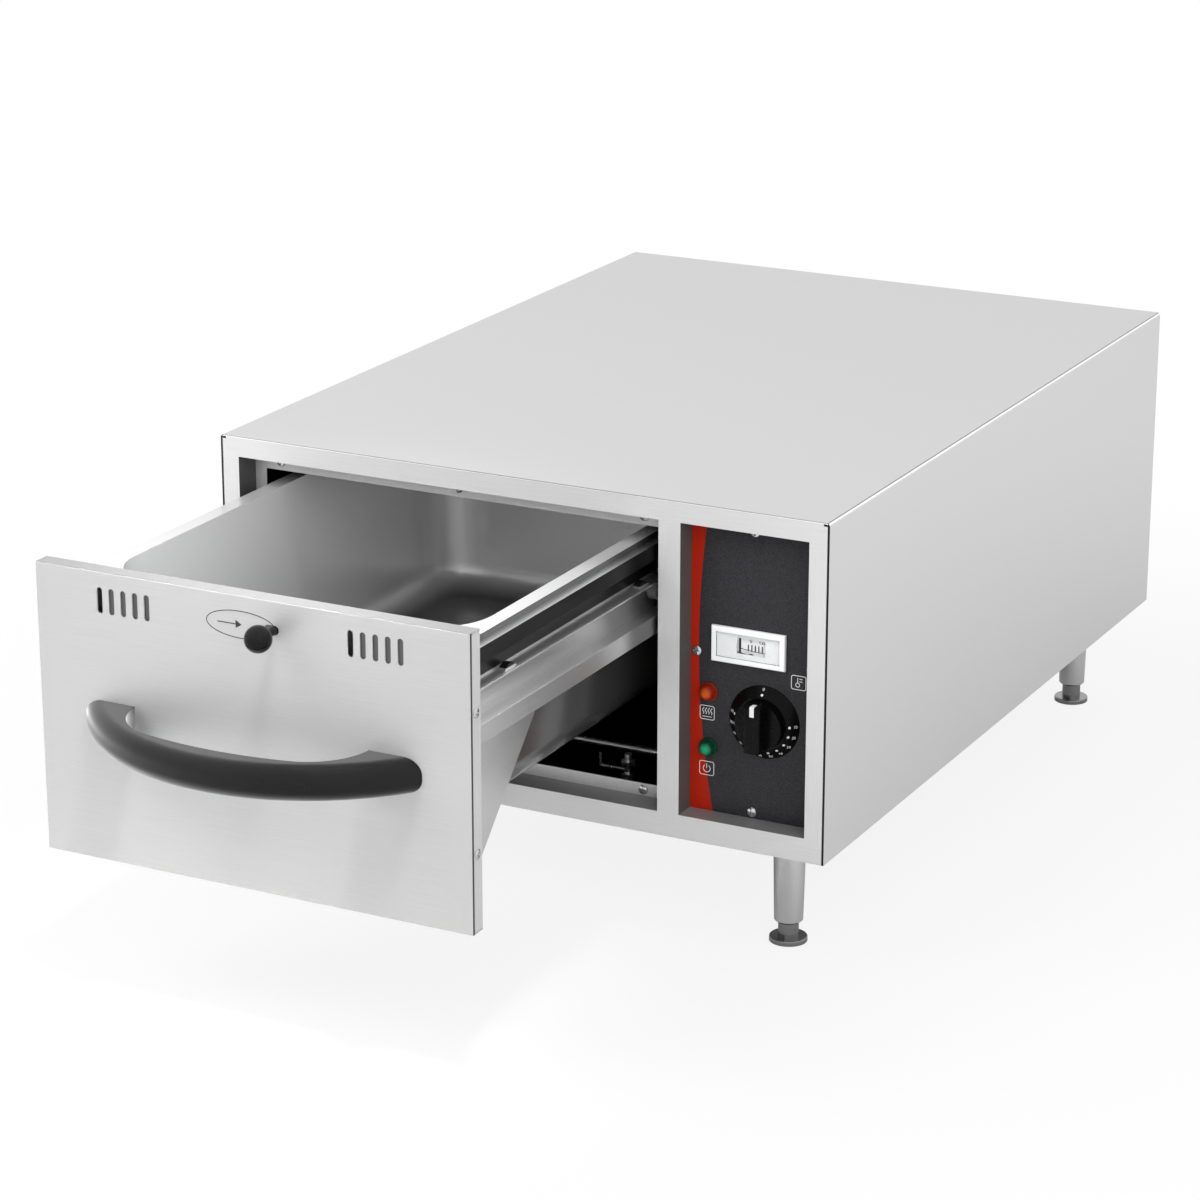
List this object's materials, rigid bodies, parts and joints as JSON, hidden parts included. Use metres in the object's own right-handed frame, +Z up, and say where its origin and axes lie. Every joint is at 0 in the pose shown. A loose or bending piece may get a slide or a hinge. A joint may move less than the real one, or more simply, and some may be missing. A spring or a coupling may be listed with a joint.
{
  "type": "warming drawer",
  "caption": "Freestanding stainless warming drawer on legs: a roller-slide drawer with a lift-out food pan and bow handle, beside a recessed panel with thermostat, gauge and lamps.",
  "frame": {"origin": "centre of the overall footprint on the floor, with the drawer standing open as in the picture", "axes": "+X to the user's right, +Y from the drawer front to the back, +Z up"},
  "size_m": [0.52, 1.084, 0.354],
  "materials": {
    "satin_steel": "satin brushed",
    "pan_steel": "satin",
    "rail_steel": "plain sheet",
    "liner_steel": "plain sheet",
    "mineral_board": "matt fibre",
    "element_sheath": "satin",
    "bright_chrome": "polished",
    "screw_steel": "plated",
    "black_gloss": "gloss",
    "panel_black": "fine texture",
    "knob_black": "satin",
    "shaft_steel": "turned",
    "housing_plastic": "matt",
    "sensor_copper": "plain",
    "probe_steel": "plain",
    "wire_sleeve": "matt",
    "gauge_white": "gloss",
    "dial_white": "matt print",
    "needle_black": "matt",
    "window_clear": "clear",
    "lamp_amber": "translucent gloss",
    "lamp_green": "translucent gloss",
    "roller_nylon": "moulded"
  },
  "bodies": {
    "cabinet": {"outer_casing": "satin_steel", "front_frame": "satin_steel", "back_panel": "satin_steel", "base_panel": "satin_steel", "fixed_rail_left": "rail_steel", "fixed_rail_right": "rail_steel", "liner_left": "liner_steel", "liner_right": "liner_steel", "liner_top": "liner_steel", "liner_floor": "liner_steel", "liner_back": "liner_steel", "control_divider": "liner_steel", "element_mounts": "liner_steel", "insulation_boards": "mineral_board", "heating_element": "element_sheath", "leg_front_left": "bright_chrome", "leg_front_right": "bright_chrome", "leg_rear_left": "bright_chrome", "leg_rear_right": "bright_chrome", "panel_screws": "screw_steel", "flange_screws": "screw_steel", "back_screws": "screw_steel", "leg_nuts": "screw_steel", "control_panel": "panel_black", "dial_ring": "knob_black", "thermostat_body": "housing_plastic", "terminal_block": "housing_plastic", "cable_gland": "housing_plastic", "thermostat_bulb": "sensor_copper", "gauge_probe": "probe_steel", "wiring_loom": "wire_sleeve", "gauge_case": "gauge_white", "gauge_dial": "dial_white", "gauge_window": "window_clear", "heat_lamp": "lamp_amber", "power_lamp": "lamp_green"},
    "drawer": {"drawer_front": "satin_steel", "drawer_front_lining": "satin_steel", "drawer_handle": "black_gloss", "handle_bolts": "screw_steel", "drawer_rail_left": "rail_steel", "drawer_rail_right": "rail_steel", "drawer_gussets": "rail_steel", "pan_frame": "pan_steel", "food_pan": "pan_steel", "front_side_screws": "screw_steel", "vent_guides": "rail_steel"},
    "thermostat_control": {"thermostat_knob": "knob_black", "thermostat_shaft": "shaft_steel"},
    "gauge_pointer": {"gauge_needle": "needle_black"},
    "vent_slider": {"vent_plate": "rail_steel", "vent_knob": "black_gloss"},
    "levelling_foot_front_left": {"foot_front_left": "bright_chrome"},
    "levelling_foot_front_right": {"foot_front_right": "bright_chrome"},
    "levelling_foot_rear_left": {"foot_rear_left": "bright_chrome"},
    "levelling_foot_rear_right": {"foot_rear_right": "bright_chrome"},
    "front_roller_left": {"front_roller_left": "roller_nylon"},
    "rear_roller_left": {"rear_roller_left": "roller_nylon"},
    "front_roller_right": {"front_roller_right": "roller_nylon"},
    "rear_roller_right": {"rear_roller_right": "roller_nylon"}
  },
  "joints": [
    {"name": "drawer_slide", "type": "slide", "parent": "cabinet", "child": "drawer", "axis": [0, -1, 0], "range_m": [-0.285, 0.19]},
    {"name": "vent_slide", "type": "slide", "parent": "drawer", "child": "vent_slider", "axis": [-1, 0, 0], "range_m": [0, 0.005]},
    {"name": "thermostat_turn", "type": "hinge", "parent": "cabinet", "child": "thermostat_control", "pos_m": [0.2013, -0.1733, 0.1856], "axis": [0, 1, 0], "range_deg": [0, 270]},
    {"name": "gauge_needle_swing", "type": "hinge", "parent": "cabinet", "child": "gauge_pointer", "pos_m": [0.1881, -0.1713, 0.2344], "axis": [0, 1, 0], "range_deg": [0, 156]},
    {"name": "level_front_left", "type": "slide", "parent": "cabinet", "child": "levelling_foot_front_left", "axis": [0, 0, -1], "range_m": [-0.006, 0.02]},
    {"name": "level_front_right", "type": "slide", "parent": "cabinet", "child": "levelling_foot_front_right", "axis": [0, 0, -1], "range_m": [-0.006, 0.02]},
    {"name": "level_rear_left", "type": "slide", "parent": "cabinet", "child": "levelling_foot_rear_left", "axis": [0, 0, -1], "range_m": [-0.006, 0.02]},
    {"name": "level_rear_right", "type": "slide", "parent": "cabinet", "child": "levelling_foot_rear_right", "axis": [0, 0, -1], "range_m": [-0.006, 0.02]},
    {"name": "front_roller_spin_left", "type": "hinge", "parent": "cabinet", "child": "front_roller_left", "pos_m": [-0.2245, -0.1573, 0.2707], "axis": [1, 0, 0], "range_deg": [-2100, 1400]},
    {"name": "rear_roller_spin_left", "type": "hinge", "parent": "drawer", "child": "rear_roller_left", "pos_m": [-0.2377, 0.076, 0.2707], "axis": [1, 0, 0], "range_deg": [-2100, 1400]},
    {"name": "front_roller_spin_right", "type": "hinge", "parent": "cabinet", "child": "front_roller_right", "pos_m": [0.1025, -0.1573, 0.2707], "axis": [1, 0, 0], "range_deg": [-2100, 1400]},
    {"name": "rear_roller_spin_right", "type": "hinge", "parent": "drawer", "child": "rear_roller_right", "pos_m": [0.1157, 0.076, 0.2707], "axis": [1, 0, 0], "range_deg": [-2100, 1400]}
  ],
  "couplings": [
    {"joint": "front_roller_spin_left", "follows": "drawer_slide", "rad_per_m": 125},
    {"joint": "rear_roller_spin_left", "follows": "drawer_slide", "rad_per_m": 125},
    {"joint": "front_roller_spin_right", "follows": "drawer_slide", "rad_per_m": 125},
    {"joint": "rear_roller_spin_right", "follows": "drawer_slide", "rad_per_m": 125}
  ]
}
